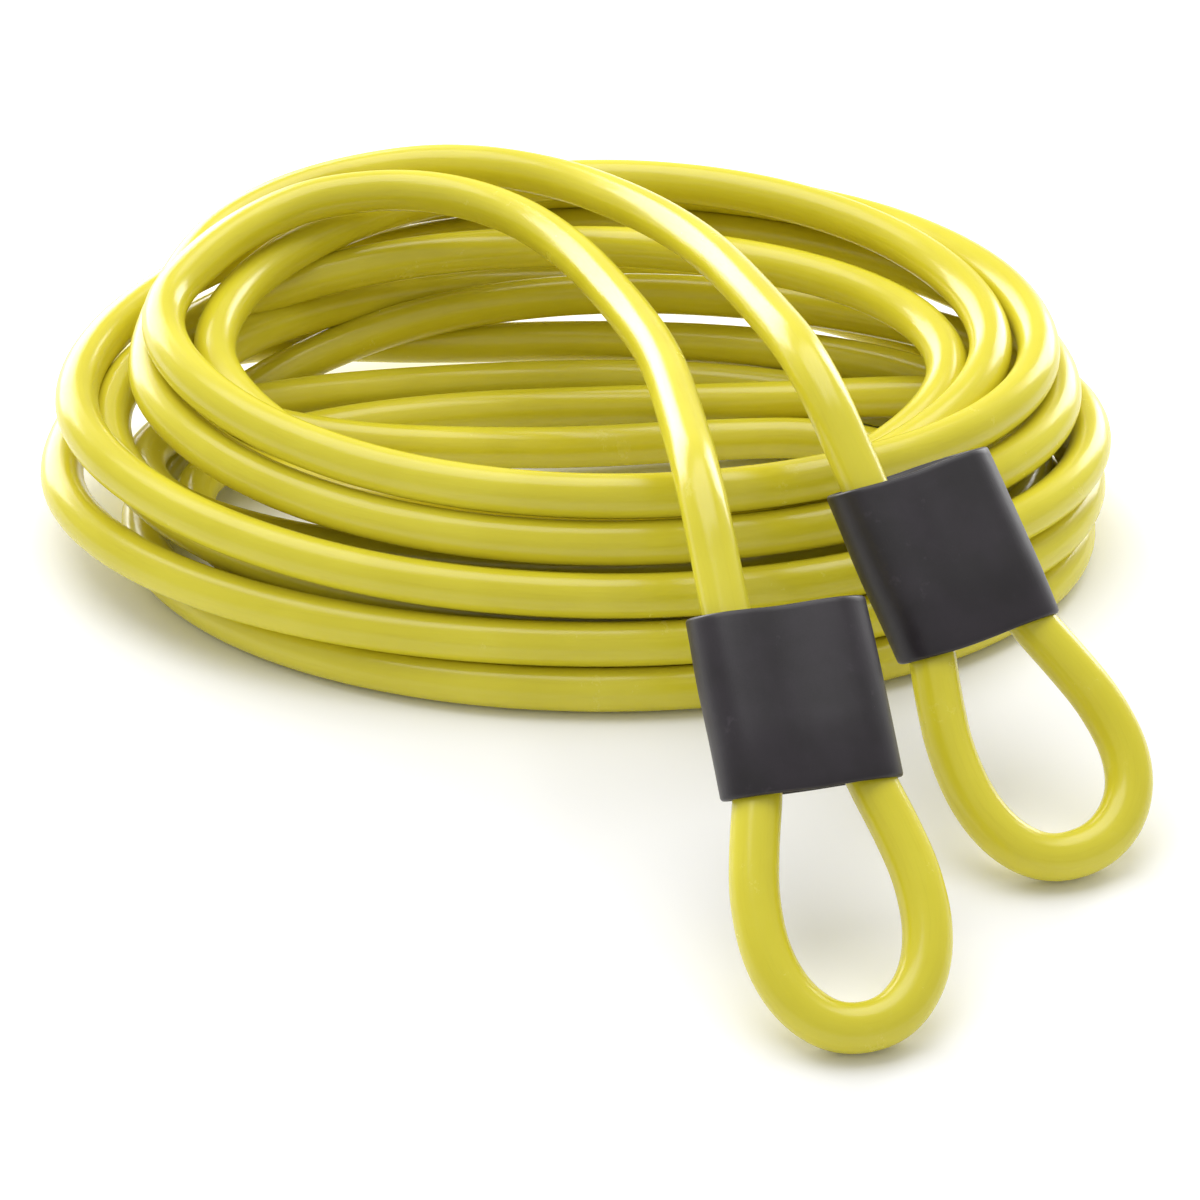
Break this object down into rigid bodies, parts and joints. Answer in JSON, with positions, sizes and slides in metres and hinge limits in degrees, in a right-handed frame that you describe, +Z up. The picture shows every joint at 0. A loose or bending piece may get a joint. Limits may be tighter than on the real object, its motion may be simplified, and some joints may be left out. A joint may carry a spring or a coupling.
{
  "type": "looped-end vinyl rope",
  "caption": "Coiled solid vinyl rope with a finger loop at each end, each loop held by a black twin-barrel sleeve over a crimped ferrule.",
  "frame": {"origin": "bottom centre of the whole object's box, on the surface that it lies on", "axes": "+Z up, the two finger loops towards -Y, +X to the right when the loops are nearest"},
  "size_m": [0.2, 0.2459, 0.064],
  "materials": {
    "rope": "smooth extruded vinyl, glossy, slightly translucent",
    "cover": "satin black vinyl with fine draw lines",
    "ferrule": "crimped, satin"
  },
  "bodies": {
    "root": {"rope_coil": "rope", "rope_lead_front": "rope", "rope_lead_rear": "rope", "rope_loop_front": "rope", "rope_loop_rear": "rope", "sleeve_cover_front": "cover", "sleeve_cover_rear": "cover", "ferrule_front": "ferrule", "ferrule_rear": "ferrule"}
  },
  "joints": []
}
